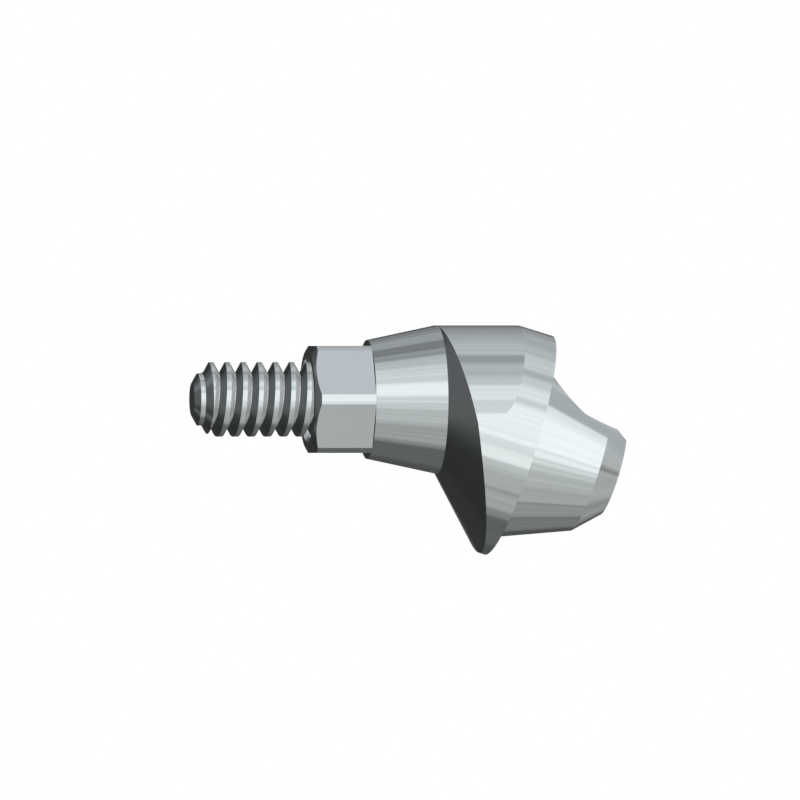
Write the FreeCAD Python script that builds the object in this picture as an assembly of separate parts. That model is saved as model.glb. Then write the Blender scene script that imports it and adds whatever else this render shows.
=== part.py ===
"""Angled multi-unit dental abutment with its abutment screw, in millimetres.

The implant axis is +Z, the coronal end is up, and the origin lies on that axis in the
plane where the conical seat ends, which is level with the top of the implant.
The head leans towards +X. The abutment is one turned and milled titanium solid, and
the screw that clamps it into the implant turns freely in its channel.
"""
import FreeCAD, Part
import math
import os

os.makedirs("parts", exist_ok=True)

# Conical seat and the flare above it, both turned about the implant axis
seat_radius = 1.60
seat_length = 1.514
seat_half_angle = 12.0
flare_half_angle = 61.0

# Relief turned about an axis beside the implant axis, flush with the seat on the lip side
relief_radius = 2.49
relief_bite = 0.01

# Hexagon that keys the abutment in the implant
hex_across_flats = 2.30
hex_across_corners = 2.54
hex_length = 1.296
hex_root = 0.05
hex_face_radius = 1.074
hex_chamfer_angle = 30.0

# Head, turned about an axis that leans from the implant axis
head_tilt = 17.0
shoulder_height = 1.788
shoulder_offset = 0.984
collar_radius = 2.46
head_base_radius = 2.07
head_half_angle = 21.7
head_cone_height = 1.615
head_chamfer_height = 0.52
head_chamfer_angle = 45.0

# Screw access through the body, and the scallop that opens it on the side of the head
channel_radius = 1.00
screw_passage_radius = 0.84
passage_mouth_radius = 0.915
ledge_depth = 0.60
scallop_radius = 1.375
boss_radius = 1.67
boss_draft = 14.5

# Threaded hole for the prosthetic screw, on the head axis
prosthetic_hole_radius = 0.55
prosthetic_hole_depth = 1.75
prosthetic_mouth_radius = 0.68

# Abutment screw
thread_radius = 0.80
thread_pitch = 0.35
thread_root_radius = 0.585
thread_crest_flat = 0.102
thread_root_flat = 0.01
thread_left_handed = True
thread_phase_height = -3.8577
thread_length = 2.75
tip_depth = 5.32
tip_face_radius = 0.365
tip_radius = 0.562
tip_chamfer_angle = 60.0
tip_length = 0.215
thread_lead_angle = 60.0
shank_radius = 0.60
screw_head_clearance = 0.03
screw_head_length = 1.50
screw_head_edge = 0.06
driver_across_flats = 1.20
driver_depth = 0.95

# Height that clears the whole part, for tools that cut or bound it
reach = 8.0

AXIS_UP = FreeCAD.Vector(0, 0, 1)
ORIGIN = FreeCAD.Vector(0, 0, 0)


def rise(run, angle):
    """Height gained over a run at an angle in degrees."""
    return run * math.tan(math.radians(angle))


def turned(profile):
    """Solid of revolution about Z from (radius, height) points, closed along the axis."""
    points = [FreeCAD.Vector(radius, 0, height) for radius, height in profile]
    face = Part.Face(Part.makePolygon(points + points[:1]))
    return face.revolve(ORIGIN, AXIS_UP, 360)


def hexagonal_bar(across_flats, bottom, height):
    """Hexagonal bar along Z with two flats facing +X and -X."""
    corner = across_flats / 2 / math.cos(math.radians(30))
    turns = [math.radians(30 + 60 * side) for side in range(6)]
    points = [FreeCAD.Vector(corner * math.cos(a), corner * math.sin(a), bottom) for a in turns]
    return Part.Face(Part.makePolygon(points + points[:1])).extrude(AXIS_UP * height)


def round_bar(radius, bottom, top):
    """Cylinder about Z between two heights."""
    return Part.makeCylinder(radius, top - bottom, FreeCAD.Vector(0, 0, bottom), AXIS_UP)


head_frame = FreeCAD.Placement(
    FreeCAD.Vector(shoulder_offset, 0, shoulder_height),
    FreeCAD.Rotation(FreeCAD.Vector(0, 1, 0), head_tilt),
)


def on_head_axis(shape):
    """Carry a shape modelled about Z, with the shoulder at height 0, onto the head axis."""
    placed = shape.copy()
    placed.Placement = head_frame
    return placed


def make_seat():
    """Conical seat, flat at its small end, with the flare cone that opens above it."""
    small_radius = seat_radius - rise(seat_length, seat_half_angle)
    return turned([(0, -seat_length), (small_radius, -seat_length), (seat_radius, 0),
                   (seat_radius + rise(reach, flare_half_angle), reach), (0, reach)])


def make_hexagon():
    """Indexing hexagon with turned corners and a chamfered end face."""
    bottom = -seat_length - hex_length
    corner_radius = hex_across_corners / 2
    chamfer_height = rise(corner_radius - hex_face_radius, hex_chamfer_angle)
    # The bar runs a little way into the seat, so that the two become one solid
    top = -seat_length + hex_root
    envelope = turned([(0, bottom), (hex_face_radius, bottom),
                       (corner_radius, bottom + chamfer_height), (corner_radius, top), (0, top)])
    return hexagonal_bar(hex_across_flats, bottom, top - bottom).common(envelope)


def make_head_blank():
    """Collar and tapered head about the head axis, before the scallop is milled."""
    collar = on_head_axis(round_bar(collar_radius, -reach, 0))
    cone_top_radius = head_base_radius - rise(head_cone_height, head_half_angle)
    end_radius = cone_top_radius - rise(head_chamfer_height, head_chamfer_angle)
    end_height = head_cone_height + head_chamfer_height
    cone = on_head_axis(turned([(0, 0), (head_base_radius, 0), (cone_top_radius, head_cone_height),
                                (end_radius, end_height), (0, end_height)]))
    boss = on_head_axis(turned([(0, 0), (boss_radius, 0),
                                (boss_radius - rise(end_height, boss_draft), end_height),
                                (0, end_height)]))
    scallop = round_bar(scallop_radius, 0, reach)
    return collar.fuse(cone.cut(scallop).fuse(cone.common(boss)))


def make_abutment_body():
    """The whole abutment: seat, hexagon, collar and head, with its bores."""
    relief_centre = relief_radius - seat_radius + relief_bite
    relief = Part.makeCylinder(relief_radius, reach + seat_length,
                               FreeCAD.Vector(relief_centre, 0, -seat_length), AXIS_UP)
    body = make_seat().common(relief).common(make_head_blank())
    body = body.fuse(make_hexagon())

    hex_end = -seat_length - hex_length
    mouth_depth = passage_mouth_radius - screw_passage_radius
    screw_path = turned([(0, hex_end), (passage_mouth_radius, hex_end),
                         (screw_passage_radius, hex_end + mouth_depth),
                         (screw_passage_radius, -ledge_depth),
                         (channel_radius, -ledge_depth), (channel_radius, reach), (0, reach)])
    end_height = head_cone_height + head_chamfer_height
    countersink = prosthetic_mouth_radius - prosthetic_hole_radius
    hole = turned([(0, end_height - prosthetic_hole_depth),
                   (prosthetic_hole_radius, end_height - prosthetic_hole_depth),
                   (prosthetic_hole_radius, end_height - countersink),
                   (prosthetic_mouth_radius, end_height), (0, end_height)])
    return body.cut(screw_path).cut(on_head_axis(hole)).removeSplitter()


def make_thread_groove(start, length):
    """Helical V groove that leaves the flat crests, from a start height upwards."""
    over = 0.05
    half_root = thread_root_flat / 2
    half_mouth = (thread_pitch - thread_crest_flat) / 2
    flank_slope = (half_mouth - half_root) / (thread_radius - thread_root_radius)
    half_outer = half_mouth + over * flank_slope
    outer_radius = thread_radius + over
    points = [FreeCAD.Vector(outer_radius, 0, start - half_outer),
              FreeCAD.Vector(thread_root_radius, 0, start - half_root),
              FreeCAD.Vector(thread_root_radius, 0, start + half_root),
              FreeCAD.Vector(outer_radius, 0, start + half_outer)]
    profile = Part.makePolygon(points + points[:1])
    helix = Part.makeLongHelix(thread_pitch, length, thread_root_radius, 0, thread_left_handed)
    helix.translate(FreeCAD.Vector(0, 0, start))
    return Part.Wire(helix.Edges).makePipeShell([profile], True, True)


def make_abutment_screw():
    """Abutment screw: threaded end, plain shank, and a head with a hexagonal socket."""
    tip = -tip_depth
    thread_start = tip + tip_length
    thread_end = thread_start + thread_length
    chamfer = rise(tip_radius - tip_face_radius, 90 - tip_chamfer_angle)
    lead = rise(thread_radius - tip_radius, 90 - thread_lead_angle)
    neck = thread_radius - shank_radius
    head_radius = channel_radius - screw_head_clearance
    head_top = -ledge_depth + screw_head_length
    blank = turned([(0, tip), (tip_face_radius, tip), (tip_radius, tip + chamfer),
                    (tip_radius, thread_start), (thread_radius, thread_start + lead),
                    (thread_radius, thread_end), (shank_radius, thread_end + neck),
                    (shank_radius, -ledge_depth), (head_radius, -ledge_depth),
                    (head_radius, head_top - screw_head_edge),
                    (head_radius - screw_head_edge, head_top), (0, head_top)])
    # At the phase height the root of the groove is on the +X side and a crest on the -X side
    turns_below = math.ceil((thread_phase_height - thread_start) / thread_pitch) + 1
    groove_start = thread_phase_height - turns_below * thread_pitch
    groove = make_thread_groove(groove_start, thread_end + neck - groove_start)
    socket = hexagonal_bar(driver_across_flats, head_top - driver_depth, driver_depth + reach)
    return blank.cut(groove).cut(socket)


for node, shape in (("abutment_body", make_abutment_body()),
                    ("abutment_screw", make_abutment_screw())):
    print(node, "valid", shape.isValid(), "solids", len(shape.Solids), "volume", round(shape.Volume, 4),
          "box", [round(v, 3) for v in (shape.BoundBox.XMin, shape.BoundBox.XMax, shape.BoundBox.YMin,
                                        shape.BoundBox.YMax, shape.BoundBox.ZMin, shape.BoundBox.ZMax)])
    shape.exportStep("parts/" + node + ".step")
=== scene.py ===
"""Looks of the angled dental abutment and its screw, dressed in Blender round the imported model.

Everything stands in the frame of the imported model: +Z is the implant axis towards the
mouth, and the head leans towards +X. Both pieces are worked out in mm and shown in metres.
"""
import math

import bmesh
import bpy
import numpy as np
from mathutils import Matrix, Vector


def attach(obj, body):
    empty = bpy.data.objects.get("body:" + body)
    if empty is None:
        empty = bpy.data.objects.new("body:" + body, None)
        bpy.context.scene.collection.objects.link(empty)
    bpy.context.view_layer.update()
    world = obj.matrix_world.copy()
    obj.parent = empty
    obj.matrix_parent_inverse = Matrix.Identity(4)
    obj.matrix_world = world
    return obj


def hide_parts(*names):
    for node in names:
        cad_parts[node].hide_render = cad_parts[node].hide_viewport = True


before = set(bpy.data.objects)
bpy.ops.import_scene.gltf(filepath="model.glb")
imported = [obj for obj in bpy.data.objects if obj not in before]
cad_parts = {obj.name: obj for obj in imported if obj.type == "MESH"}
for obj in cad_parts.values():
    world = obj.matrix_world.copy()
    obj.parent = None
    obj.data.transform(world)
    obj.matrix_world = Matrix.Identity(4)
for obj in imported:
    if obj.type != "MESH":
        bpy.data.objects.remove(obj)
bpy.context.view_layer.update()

MM = 0.001

# ------------------------------------------------------------------ abutment body
# One piece of grade 5 titanium, turned about two axes: the implant seat, hexagon and
# relief about the implant axis, and the collar and tapered head about an axis that
# leans 17 degrees. The scallop and both bores are milled and drilled into it.


class Socket:
    """A shader socket on which arithmetic adds Math nodes."""

    def __init__(self, tree, socket):
        self.tree, self.socket = tree, socket

    def math(self, operation, *others):
        return add_node(self.tree, "ShaderNodeMath", (self,) + others, operation=operation)

    def __add__(self, other):
        return self.math("ADD", other)

    def __sub__(self, other):
        return self.math("SUBTRACT", other)

    def __mul__(self, other):
        return self.math("MULTIPLY", other)

    def __truediv__(self, other):
        return self.math("DIVIDE", other)

    __radd__, __rmul__ = __add__, __mul__

    def __rsub__(self, other):
        return self * -1 + other


def add_node(tree, kind, inputs=(), output=0, stops=None, **settings):
    """Adds one node with its settings, fills its sockets by order or by name, and returns one output."""
    node = tree.nodes.new(kind)
    for name, value in settings.items():
        setattr(node, name, value)
    if stops:
        ramp = node.color_ramp
        while len(ramp.elements) < len(stops):
            ramp.elements.new(1.0)
        for element, (position, value) in zip(ramp.elements, stops):
            element.position = position
            element.color = (value, value, value, 1)
    pairs = inputs.items() if isinstance(inputs, dict) else enumerate(inputs)
    for key, value in pairs:
        if isinstance(value, Socket):
            tree.links.new(value.socket, node.inputs[key])
        else:
            node.inputs[key].default_value = value
    return Socket(tree, node.outputs[output]) if node.outputs else node


def new_tree(owner):
    """An emptied node tree of a material or world."""
    owner.use_nodes = True
    owner.node_tree.nodes.clear()
    return owner.node_tree


def smoothstep(tree, value, low, high):
    """0 below low, 1 above high, with a soft rise between."""
    return add_node(tree, "ShaderNodeMapRange", {"Value": value, "From Min": low, "From Max": high},
                    interpolation_type="SMOOTHSTEP")


def blend(tree, factor, first, second):
    """Colour mixed from the first to the second as the factor grows from 0 to 1."""
    inputs = {"Factor": factor}
    for key, colour in ((6, first), (7, second)):
        inputs[key] = colour if isinstance(colour, Socket) else (*colour, 1)
    return add_node(tree, "ShaderNodeMix", inputs, output=2, data_type="RGBA")


WALL_MARGIN, BOTTOM_MARGIN = 0.01, 0.05


def inside_bore(tree, place, bore):
    """0 outside a bore and at its mouth, growing to 1 at its bottom, with all lengths in mm.

    With h along the axis, the distance from the axis is sqrt(length^2 - h^2).
    """
    (origin, axis), radius, mouth, bottom = bore
    arm = add_node(tree, "ShaderNodeVectorMath", (place, origin), operation="SUBTRACT")
    h = add_node(tree, "ShaderNodeVectorMath", (arm, axis), output=1, operation="DOT_PRODUCT")
    length = add_node(tree, "ShaderNodeVectorMath", (arm,), output=1, operation="LENGTH")
    distance = (length * length - h * h).math("SQRT")
    return (smoothstep(tree, distance, radius + 3 * WALL_MARGIN, radius + WALL_MARGIN)
            * smoothstep(tree, h, mouth, bottom) * h.math("GREATER_THAN", bottom - BOTTOM_MARGIN))


# Finish of machined titanium, with lengths in metres
BLOTCHES_PER_METRE, GRAINS_PER_METRE = 1400.0, 9000.0
RING_PITCH, RING_DEPTH, RING_SHARE = 0.0001885, 0.0000002, 0.7
BUMP_STRENGTH = 0.15
ROUGHNESS_SPREAD, BORE_ROUGHNESS = 0.05, 0.3
# Painted shade: the dark colour that fills a bore towards its bottom, and how much it covers the metal's
# own colour there
BORE_SHADE_COLOUR, BORE_SHADE = (0.10, 0.105, 0.11), 0.85
# The wave texture has 20 radians of its wave per unit of length at scale 1
RING_SCALE = math.tau / RING_PITCH / 20


def titanium(name, dark, light, roughness, bores):
    """Machined titanium: turning rings round the implant axis, faint blotches and fine grain.

    Its drilled bores are duller, and darker with painted shade, towards the bottom. Each is given in
    mm as its axis, its radius, and the heights of its mouth and bottom along the axis.
    """
    material = bpy.data.materials.new(name)
    tree = new_tree(material)
    place = add_node(tree, "ShaderNodeTexCoord", output="Object")
    tone = add_node(tree, "ShaderNodeTexNoise",
                    {"Vector": place, "Scale": BLOTCHES_PER_METRE, "Detail": 3.0})
    grain = add_node(tree, "ShaderNodeTexNoise",
                     {"Vector": place, "Scale": GRAINS_PER_METRE, "Detail": 2.0})
    rings = add_node(tree, "ShaderNodeTexWave",
                     {"Vector": place, "Scale": RING_SCALE, "Distortion": 0.0},
                     wave_type="BANDS", bands_direction="Z")
    height = rings * RING_SHARE + grain * (1 - RING_SHARE)
    bump = add_node(tree, "ShaderNodeBump",
                    {"Strength": BUMP_STRENGTH, "Distance": RING_DEPTH, "Height": height})
    place_mm = add_node(tree, "ShaderNodeVectorMath", {0: place, "Scale": 1 / MM}, operation="SCALE")
    depth = inside_bore(tree, place_mm, bores[0])
    for bore in bores[1:]:
        depth = depth.math("MAXIMUM", inside_bore(tree, place_mm, bore))
    # The bores' colour darkens towards the bottom as painted shade, in place of the shade the metal
    # would cast into them; their added roughness is a duller drilled finish
    tint = blend(tree, depth * BORE_SHADE, blend(tree, tone, dark, light), BORE_SHADE_COLOUR)
    rough = tone * ROUGHNESS_SPREAD + (roughness - ROUGHNESS_SPREAD / 2) + depth * BORE_ROUGHNESS
    shader = add_node(tree, "ShaderNodeBsdfPrincipled",
                      {"Base Color": tint, "Metallic": 1.0, "Roughness": rough, "Normal": bump})
    add_node(tree, "ShaderNodeOutputMaterial", {"Surface": shader})
    return material


# Each axis is a point in mm and a direction
IMPLANT_AXIS = ((0, 0, 0), (0, 0, 1))
RELIEF_AXIS = ((0.90, 0, 0), (0, 0, 1))
LEAN = math.radians(17)
HEAD_AXIS = ((0.984, 0, 1.788), (math.sin(LEAN), 0, math.cos(LEAN)))

# Bores whose colour the body's finish darkens towards the bottom with painted shade
SCREW_CHANNEL = (IMPLANT_AXIS, 1.00, 2.4, -0.6)
PROSTHETIC_HOLE = (HEAD_AXIS, 0.55, 2.1, 0.385)
body_finish = titanium("turned_titanium", (0.80, 0.865, 0.88), (0.83, 0.895, 0.91), 0.06,
                       bores=(SCREW_CHANNEL, PROSTHETIC_HOLE))


def slope(degrees):
    """Radius gained per height by a cone of that half angle."""
    return math.tan(math.radians(degrees))


# Each turned surface: its axis, its radius in mm where the axis starts, and its slope
TURNED = {
    "seat": (IMPLANT_AXIS, 1.60, slope(12)),
    "flare": (IMPLANT_AXIS, 1.60, slope(61)),
    "hexagon_corner": (IMPLANT_AXIS, 1.27, 0),
    "hexagon_chamfer": (IMPLANT_AXIS, 1.074 + 2.81 * slope(60), slope(60)),
    "channel": (IMPLANT_AXIS, 1.00, 0),
    "passage": (IMPLANT_AXIS, 0.84, 0),
    "passage_mouth": (IMPLANT_AXIS, 0.915 - 2.81, -1),
    "scallop": (IMPLANT_AXIS, 1.375, 0),
    "relief": (RELIEF_AXIS, 2.49, 0),
    "collar": (HEAD_AXIS, 2.46, 0),
    "head_cone": (HEAD_AXIS, 2.07, -slope(21.7)),
    "head_chamfer": (HEAD_AXIS, 2.07 - 1.615 * slope(21.7) + 1.615, -1),
    "boss": (HEAD_AXIS, 1.67, -slope(14.5)),
    "screw_hole": (HEAD_AXIS, 0.55, 0),
    "screw_hole_mouth": (HEAD_AXIS, 0.68 - 2.135, 1),
}


def turned_offset(points, surface):
    """Signed distance to a turned surface and its outward normal at each point.

    With h along the axis and r out from it, the distance is (r - r0 - k h) / sqrt(1 + k k)
    and the normal is (radial - k axis) / sqrt(1 + k k).
    """
    (origin, axis), radius, k = TURNED[surface]
    axis = np.array(axis, dtype=float)
    arm = points - origin
    h = arm @ axis
    radial = arm - h[..., None] * axis
    r = np.linalg.norm(radial, axis=-1)
    length = math.hypot(1, k)
    normal = (radial / np.maximum(r, 1e-9)[..., None] - k * axis) / length
    return (r - radius - k * h) / length, normal


def plane_offset(points, plane):
    """Signed distance to a plane (normal, distance from the origin), and its normal."""
    normal = np.array(plane[:3])
    return points @ normal - plane[3], np.broadcast_to(normal, points.shape)


def offset(points, surface):
    """Signed distance to a turned surface or a plane, and its normal."""
    measure = plane_offset if isinstance(surface, tuple) else turned_offset
    return measure(points, surface)


LARGEST_MISFIT = 4e-4
LEAST_AGREEMENT = 0.94
SLIVER_AREA = 1e-6


def sort_faces(points, faces):
    """Names the turned surface or plane that each CAD triangle lies on, and gives its flat normal.

    It is the turned surface whose distance from the three corners is least, if its normal and
    the triangle's agree, and otherwise the triangle's own plane.
    """
    corners = points[faces]
    cross = np.cross(corners[:, 1] - corners[:, 0], corners[:, 2] - corners[:, 0])
    area = np.linalg.norm(cross, axis=1)
    flat = cross / np.maximum(area, 1e-12)[:, None]
    best = np.full(len(faces), LARGEST_MISFIT)
    found = [None] * len(faces)
    for surface in TURNED:
        distance, normal = turned_offset(corners, surface)
        misfit = np.abs(distance).max(axis=1)
        agreement = np.abs((normal.mean(axis=1) * flat).sum(axis=1))
        agrees = (agreement > LEAST_AGREEMENT) | (area < SLIVER_AREA)
        for face in np.nonzero(agrees & (misfit < best))[0]:
            best[face], found[face] = misfit[face], surface
    for face in range(len(faces)):
        if found[face] is None:
            normal = flat[face].round(4)
            found[face] = (*normal, round(float(corners[face].mean(axis=0) @ normal), 3))
    return found, flat


SETTLING_STEPS = 8


def refine(points, faces, surfaces):
    """Splits each triangle in four and puts each new point on the surfaces that meet on its edge.

    A new point starts in the middle of its edge and moves onto each surface in turn.
    """
    edges = np.sort(faces[:, [[0, 1], [1, 2], [2, 0]]].reshape(-1, 2), axis=1)
    unique, inverse = np.unique(edges, axis=0, return_inverse=True)
    inverse = inverse.reshape(-1)
    middle = points[unique].mean(axis=1)
    names = sorted(set(surfaces), key=str)
    number = np.array([names.index(surface) for surface in surfaces])
    touches = np.zeros((len(unique), len(names)), dtype=bool)
    touches[inverse, np.repeat(number, 3)] = True
    for _ in range(SETTLING_STEPS):
        for index, surface in enumerate(names):
            chosen = touches[:, index]
            distance, normal = offset(middle[chosen], surface)
            middle[chosen] = middle[chosen] - distance[:, None] * normal
    a, b, c = faces.T
    ab, bc, ca = (inverse.reshape(-1, 3) + len(points)).T
    quarters = np.stack([[a, ab, ca], [ab, b, bc], [ca, bc, c], [ab, bc, ca]])
    return np.vstack([points, middle]), quarters.transpose(0, 2, 1).reshape(-1, 3), surfaces * 4


def mesh_arrays(mesh):
    """Points in mm, with doubles merged, and triangles of a CAD node's mesh."""
    places = np.empty(len(mesh.vertices) * 3)
    mesh.vertices.foreach_get("co", places)
    mesh.calc_loop_triangles()
    faces = np.empty(len(mesh.loop_triangles) * 3, dtype=int)
    mesh.loop_triangles.foreach_get("vertices", faces)
    rounded = (places.reshape(-1, 3) / MM).round(5)
    points, inverse = np.unique(rounded, axis=0, return_inverse=True)
    faces = inverse.reshape(-1)[faces].reshape(-1, 3)
    a, b, c = faces.T
    return points, faces[(a != b) & (b != c) & (c != a)]


def show_piece(name, points, faces, finish):
    """A shaded object from points in mm and faces."""
    mesh = bpy.data.meshes.new(name)
    mesh.from_pydata((points * MM).tolist(), [], faces.tolist())
    mesh.materials.append(finish)
    piece = bpy.data.objects.new(name, mesh)
    bpy.context.collection.objects.link(piece)
    mesh.shade_smooth()
    return piece


points, faces = mesh_arrays(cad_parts["abutment_body"].data)
surfaces, flat = sort_faces(points, faces)
# The metal round a bore lies outside its surface, so the normals there are turned over
side = np.ones(len(faces))
for surface in TURNED:
    chosen = np.array([name == surface for name in surfaces])
    if chosen.any():
        normal = turned_offset(points[faces[chosen]].mean(axis=1), surface)[1]
        side[chosen] = np.where((normal * flat[chosen]).sum(axis=1) < 0, -1, 1)
for _ in range(2):
    points, faces, surfaces = refine(points, faces, surfaces)
    side = np.tile(side, 4)
body = show_piece("turned_body", points, faces, body_finish)
normals = np.empty((len(faces), 3, 3))
for surface in set(surfaces):
    chosen = np.array([name == surface for name in surfaces])
    normals[chosen] = offset(points[faces[chosen]], surface)[1] * side[chosen, None, None]
body.data.normals_split_custom_set(normals.reshape(-1, 3).tolist())
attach(body, "abutment")
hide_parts("abutment_body")
body.visible_glossy = False

# ------------------------------------------------------------------ abutment screw
# Thread-cut titanium screw that clamps the abutment into the implant. Its head sits
# on a ledge in the channel and has a hexagonal socket for the driver.

# Radii and heights in mm
PITCH, CREST_FLAT, ROOT_FLAT = 0.35, 0.102, 0.01
CREST_RADIUS, ROOT_RADIUS = 0.80, 0.585
ROOT_HEIGHT = -3.8577
THREAD_START, THREAD_END = -5.105, -2.155
LEAD_SLOPE = slope(60)
TIP, TIP_CHAMFER = -5.32, 0.1137
TIP_FACE_RADIUS, TIP_RADIUS = 0.365, 0.562
SHANK_RADIUS, SCREW_HEAD_RADIUS, SCREW_HEAD_EDGE = 0.60, 0.97, 0.06
LEDGE, SCREW_HEAD_TOP = -0.60, 0.90
SOCKET_FLAT, SOCKET_EDGE, SOCKET_BOTTOM = 0.60, 0.02, -0.05
COLUMNS, ROWS = 144, 20
DOUBLES_DISTANCE = 2e-8

# The driver socket, whose colour the screw's finish darkens towards its floor with painted shade
DRIVER_SOCKET = (IMPLANT_AXIS, 0.69, 0.85, SOCKET_BOTTOM)
screw_finish = titanium("cut_titanium", (0.79, 0.855, 0.87), (0.82, 0.885, 0.90), 0.08,
                        bores=(DRIVER_SOCKET,))


def thread_radius(height, turn):
    """Radius of the thread at heights and turns, all in mm.

    The distance from the nearest root, less half the root flat, climbs the flank between
    the root and crest radii. The cones at both ends of the thread cap it. The helix is
    left-handed: a root sinks as the turn grows.
    """
    from_root = (height - ROOT_HEIGHT + PITCH * turn + PITCH / 2) % PITCH - PITCH / 2
    flank = (CREST_RADIUS - ROOT_RADIUS) / ((PITCH - CREST_FLAT - ROOT_FLAT) / 2)
    cut = np.clip(ROOT_RADIUS + (np.abs(from_root) - ROOT_FLAT / 2) * flank, ROOT_RADIUS, CREST_RADIUS)
    lead = TIP_RADIUS + (height - THREAD_START) * LEAD_SLOPE
    runout = SHANK_RADIUS + (THREAD_END - height)
    return np.minimum(cut, np.minimum(lead, np.maximum(runout, SHANK_RADIUS)))


half_mouth = (PITCH - CREST_FLAT) / 2
# Heights over one pitch from the root's middle: root, flank, crest and flank. The rows are
# this close because the lead-in cone runs out across them, and every pitch has as many, so
# that each meets the next at the seam.
edges = (ROOT_FLAT / 2, half_mouth, PITCH - half_mouth, PITCH - ROOT_FLAT / 2)
pitch_rows = np.concatenate([[-ROOT_FLAT / 2]] + [np.linspace(low, high, ROWS)[:-1]
                                                  for low, high in zip(edges, edges[1:])])


def turned_rows(profile):
    """Heights and radii of rows that go round the whole turn, from (radius, height) pairs."""
    return np.array([[np.full(COLUMNS + 1, height), radius + 0 * turn] for radius, height in profile])


turn = np.linspace(0, 1, COLUMNS + 1)
strands = (pitch_rows + PITCH * np.arange(-4, 7)[:, None]).ravel()
helix = np.clip(ROOT_HEIGHT + strands[:, None] - PITCH * turn, THREAD_START, THREAD_END)
thread = np.stack([helix, thread_radius(helix, turn)], axis=1)
# Distance from the axis to a hexagon's sides
socket_radius = SOCKET_FLAT / np.cos(np.radians((turn * 360 + 30) % 60 - 30))
tip = turned_rows([(0, TIP), (TIP_FACE_RADIUS, TIP), (TIP_RADIUS, TIP + TIP_CHAMFER)])
head = turned_rows([(SHANK_RADIUS, LEDGE), (SCREW_HEAD_RADIUS, LEDGE),
                    (SCREW_HEAD_RADIUS, SCREW_HEAD_TOP - SCREW_HEAD_EDGE),
                    (SCREW_HEAD_RADIUS - SCREW_HEAD_EDGE, SCREW_HEAD_TOP),
                    (socket_radius + SOCKET_EDGE, SCREW_HEAD_TOP),
                    (socket_radius, SCREW_HEAD_TOP - SOCKET_EDGE),
                    (socket_radius, SOCKET_BOTTOM), (0, SOCKET_BOTTOM)])
height, radius = np.concatenate([tip, thread, head]).transpose(1, 0, 2)
angle = turn * math.tau
points = np.stack([radius * np.cos(angle), radius * np.sin(angle), height], axis=-1)
index = np.arange(radius.size).reshape(radius.shape)
faces = np.stack([index[:-1, :-1], index[:-1, 1:], index[1:, 1:], index[1:, :-1]], axis=-1)
screw = show_piece("threaded_screw", points.reshape(-1, 3), faces.reshape(-1, 4), screw_finish)
shape = bmesh.new()
shape.from_mesh(screw.data)
bmesh.ops.remove_doubles(shape, verts=shape.verts, dist=DOUBLES_DISTANCE)
shape.to_mesh(screw.data)
shape.free()
screw.data.set_sharp_from_angle(angle=math.radians(24))
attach(screw, "screw")
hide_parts("abutment_screw")
screw.visible_glossy = False

# ------------------------------------------------------------------ studio
# White surroundings and a pale floor. Polished metal shows what stands round it, so
# the mirror directions get a studio's reflection cards and black flags.

world = bpy.data.worlds.new("studio")
bpy.context.scene.world = world
tree = new_tree(world)
ray = add_node(tree, "ShaderNodeTexCoord", output="Generated")
across, along, height = (add_node(tree, "ShaderNodeSeparateXYZ", (ray,), output=axis) for axis in "XYZ")
# Degrees round the implant axis: 0 is in front of the camera, and they grow towards +X
bearing = add_node(tree, "ShaderNodeMath", (across, along * -1), operation="ARCTAN2") * math.degrees(1)


def walls(value_by_degree):
    """Brightness of the tent walls, eased between (degrees, brightness) pairs."""
    stops = [(degrees / 360 + 0.5, value) for degrees, value in value_by_degree]
    return add_node(tree, "ShaderNodeValToRGB", (bearing / 360 + 0.5,), stops=stops)


def card(level, value, left, right, foot, top, soft, soft_height):
    """Hangs a card of one brightness between two bearings and two heights, with soft edges."""
    mask = (smoothstep(tree, bearing, left - soft, left + soft)
            * smoothstep(tree, bearing, right + soft, right - soft)
            * smoothstep(tree, height, foot - soft_height, foot + soft_height)
            * smoothstep(tree, height, top + soft_height, top - soft_height))
    return level + (value - level) * mask


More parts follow.
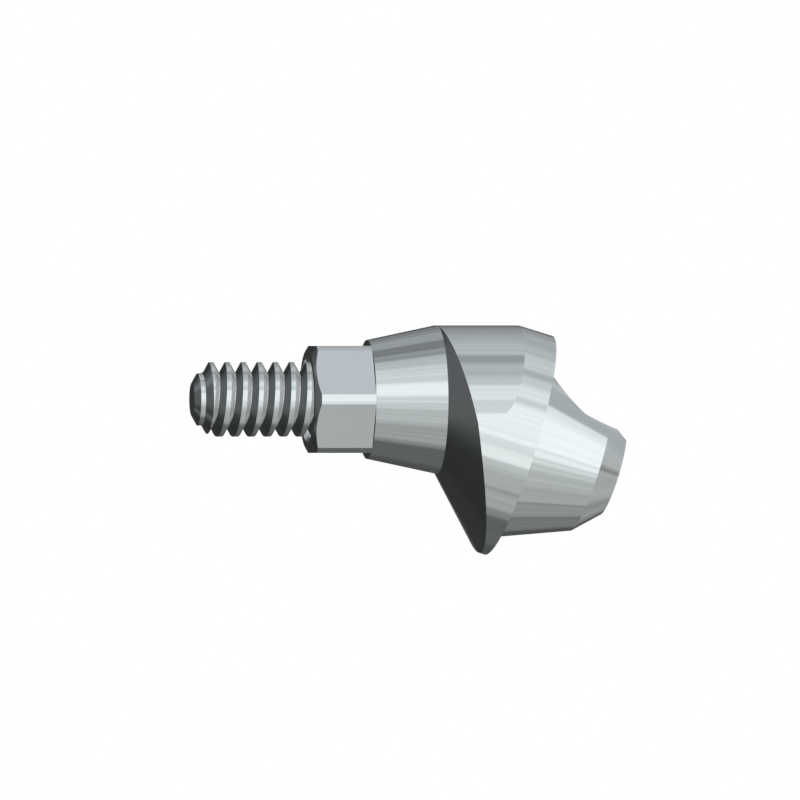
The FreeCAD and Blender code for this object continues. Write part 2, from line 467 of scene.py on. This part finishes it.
# Each card's brightness, its left and right bearing, the height of its foot and top on a globe
# of radius 1, and how soft its edges are in degrees and in height. A later one hangs in front.
CARDS = (
    (0.46, -104, -62, 0.62, 2.0, 7, 0.06),
    (0.56, -116, -106, 0.70, 0.84, 2, 0.06),
    (0.86, -61, -44, 0.55, 2.0, 3, 0.06),
    (0.94, -46, -30, 0.55, 2.0, 3, 0.06),
    (1.04, -33, 20, 0.55, 2.0, 4, 0.06),
    (0.95, 21, 31, 0.6, 2.0, 3, 0.06),
    (0.79, 32, 39, 0.6, 2.0, 3, 0.06),
    (0.62, 40, 48, 0.5, 2.0, 3, 0.06),
    (0.50, 48, 66, 0.5, 2.0, 3, 0.06),
    (0.42, 67, 88, 0.35, 0.62, 2, 0.06),
    (0.31, 89, 112, 0.27, 0.6, 3, 0.06),
    (0.20, 112, 146, 0.2, 0.45, 8, 0.06),
    (0.55, 66, 106, 0.66, 2.0, 6, 0.1),
    (0.35, -161, -148, 0.24, 0.6, 4, 0.06),
    (0.45, -146, -127, 0.30, 0.6, 6, 0.06),
    (0.64, -100, -78, 0.34, 0.6, 3, 0.06),
    (0.49, -77, -71, 0.34, 0.6, 1, 0.06),
    (0.66, -68, -60, 0.34, 0.6, 1, 0.06),
    (0.84, -57, -42, 0.06, 0.5, 2, 0.06),
    (0.72, -40, -29, -0.4, 0.05, 1, 0.06),
    (0.73, -41, -28, 0.1, 0.215, 1, 0.02),
    (0.70, -41, -36, 0.24, 0.5, 1, 0.02),
    (0.36, -96, -84, -0.02, 0.3, 3, 0.06),
    (0.80, 4, 12, 0.07, 0.20, 1, 0.02),
    (0.91, 13, 25, 0.02, 0.12, 1, 0.02),
    (0.34, 52, 56, -0.12, -0.04, 1, 0.02),
    (0.24, 76, 82, -0.16, 0.1, 1, 0.06),
    (0.22, -176, -140, -0.1, 0.09, 4, 0.06),
    (0.07, -176, -158, 0.02, 0.13, 5, 0.03),
    (0.28, -140, -129, -0.1, 0.04, 1, 0.06),
    (0.37, -128, -108, -0.4, 0.02, 2, 0.06),
    (0.23, -108, -87, -0.4, -0.02, 3, 0.06),
    (0.32, -87, -75, -0.4, -0.1, 2, 0.06),
    (0.55, -72, -58, -0.4, -0.1, 3, 0.06),
    (0.87, -29, -26, -0.4, -0.2, 1, 0.06),
    (0.74, -6, 5, -0.4, -0.16, 2, 0.06),
    (0.65, 5, 15, -0.4, -0.16, 1, 0.06),
    (0.53, 16, 40, -0.4, -0.12, 3, 0.06),
    (0.37, 46, 78, -0.4, -0.16, 2, 0.06),
    (0.13, 86, 130, -0.4, 0.12, 3, 0.06),
    (0.43, 104, 190, 0.66, 2.0, 6, 0.1),
    (0.33, 128, 190, 0.40, 0.66, 8, 0.12),
    (0.43, -190, -114, 0.62, 2.0, 5, 0.06),
    (0.36, -190, -150, 0.38, 0.6, 6, 0.06),
    (0.50, -200, 200, 0.94, 2.0, 3, 0.03),
    (0.26, 112, 132, 0.945, 0.965, 3, 0.01),
)
level = walls([(-180, 0.08), (-166, 0.17), (-150, 0.30), (-126, 0.43), (-115, 0.51), (-100, 0.54),
               (-72, 0.51), (-58, 0.66), (-36, 0.76), (-31, 0.98), (4, 0.97), (28, 0.58), (36, 0.47),
               (74, 0.40), (88, 0.16), (120, 0.12), (150, 0.08)])
for row in CARDS:
    level = card(level, *row)

STREAK_DEPTH = 0.40
streaks = add_node(tree, "ShaderNodeTexNoise", {"W": bearing * 0.22 + height * 1.5, "Scale": 1.0,
                                                "Detail": 4.0, "Roughness": 0.7}, noise_dimensions="1D")
level = level * (1 - STREAK_DEPTH / 2 + streaks * STREAK_DEPTH)

# A narrow cool strip that one flat of the hexagon mirrors
STRIP_LEVEL, STRIP_COLOUR = 0.61, (0.95, 0.95, 1.02)
strip = card(bearing * 0, 1, -60.7, -59.3, 0.14, 0.18, 0.3, 0.01)
level = level + (STRIP_LEVEL - level) * strip

# The ground is dark behind the part and pale elsewhere
below = smoothstep(tree, height, -0.29, -0.34)
behind = 1 - smoothstep(tree, bearing, -151, -148) * smoothstep(tree, bearing, 151, 148)
pale_ground = (0.30 + level * 0.38) * (1 - smoothstep(tree, height, -0.6, -0.95) * 0.35)
glow = smoothstep(tree, height, -0.25, -0.85) * smoothstep(tree, across, 0.30, 0.07)
dark_ground = 0.03 + glow * 0.085
ground = pale_ground + (dark_ground - pale_ground) * behind
mirror = level + (ground - level) * below

# Two black flags behind the part, low on both sides
FLAG = 0.035
mirror = card(mirror, FLAG, -200, -158, -0.5, -0.04, 4, 0.03)
mirror = card(mirror, FLAG, 158, 200, -0.5, -0.04, 4, 0.03)

WARM, COOL, WHITE = (1, 1, 0.985), (0.985, 1, 1.015), (1, 1, 1)
ROOM_LEVEL = 0.9
tint = blend(tree, smoothstep(tree, bearing, 20, -60), WARM, COOL)
tint = blend(tree, strip, tint, STRIP_COLOUR)
camera_ray = add_node(tree, "ShaderNodeLightPath", output="Is Camera Ray")
glossy_ray = add_node(tree, "ShaderNodeLightPath", output="Is Glossy Ray")
colour = blend(tree, glossy_ray, WHITE, tint)
seen_by_metal = glossy_ray * mirror + (1 - glossy_ray) * ROOM_LEVEL
strength = camera_ray + (1 - camera_ray) * seen_by_metal
background = add_node(tree, "ShaderNodeBackground", {"Color": colour, "Strength": strength})
add_node(tree, "ShaderNodeOutputWorld", {"Surface": background})

FLOOR_HEIGHT, FLOOR_REACH = -0.00534, 0.5
floor_mesh = bpy.data.meshes.new("floor")
corners = ((-1, -1), (1, -1), (1, 1), (-1, 1))
floor_mesh.from_pydata([(x * FLOOR_REACH, y * FLOOR_REACH, FLOOR_HEIGHT) for x, y in corners], [],
                       [(0, 1, 2, 3)])
floor = bpy.data.objects.new("floor", floor_mesh)
bpy.context.collection.objects.link(floor)
# Seen from above it is a pale floor, and from below it is clear
paint = bpy.data.materials.new("pale_floor")
tree = new_tree(paint)
underside = add_node(tree, "ShaderNodeNewGeometry", output="Backfacing")
pale = add_node(tree, "ShaderNodeBsdfDiffuse", {"Color": (0.88, 0.88, 0.88, 1)})
clear = add_node(tree, "ShaderNodeBsdfTransparent")
coat = add_node(tree, "ShaderNodeMixShader", (underside, pale, clear))
add_node(tree, "ShaderNodeOutputMaterial", {"Surface": coat})
floor_mesh.materials.append(paint)
floor.visible_glossy = False

SOFTBOX_SIZE, SOFTBOX_WATTS = 0.08, 0.02
lamp_data = bpy.data.lights.new("softbox", "AREA")
lamp_data.size, lamp_data.energy = SOFTBOX_SIZE, SOFTBOX_WATTS
lamp = bpy.data.objects.new("softbox", lamp_data)
lamp.location = (-0.04, -0.05, 0.10)
lamp.rotation_euler = (math.radians(27), math.radians(-20), 0)
lamp.visible_glossy = False
bpy.context.collection.objects.link(lamp)

# ------------------------------------------------------------------ camera
# The photograph looks square on to the side of the leaning head, but from 9.35 degrees
# nearer the screw's tip, with the implant axis lying across the picture.

BELOW = math.radians(9.35)
PIXELS_PER_METRE = 46560.0
FRAME_PIXELS = 800
AIM_X, AIM_Y = 436.35, 399.42
CAMERA_DISTANCE = 0.06

camera_data = bpy.data.cameras.new("camera")
camera_data.type = "ORTHO"
camera_data.ortho_scale = FRAME_PIXELS / PIXELS_PER_METRE
camera_data.clip_start, camera_data.clip_end = 0.001, 1.0
camera = bpy.data.objects.new("camera", camera_data)
bpy.context.collection.objects.link(camera)
right = Vector((0, -math.sin(BELOW), math.cos(BELOW)))
up = Vector((-1, 0, 0))
back = right.cross(up)
half = FRAME_PIXELS / 2
centre = (right * (half - AIM_X) + up * (AIM_Y - half)) / PIXELS_PER_METRE
eye = centre + back * CAMERA_DISTANCE
camera.matrix_world = Matrix.Translation(eye) @ Matrix((right, up, back)).transposed().to_4x4()
bpy.context.scene.camera = camera
bpy.context.scene.view_settings.view_transform = "Standard"
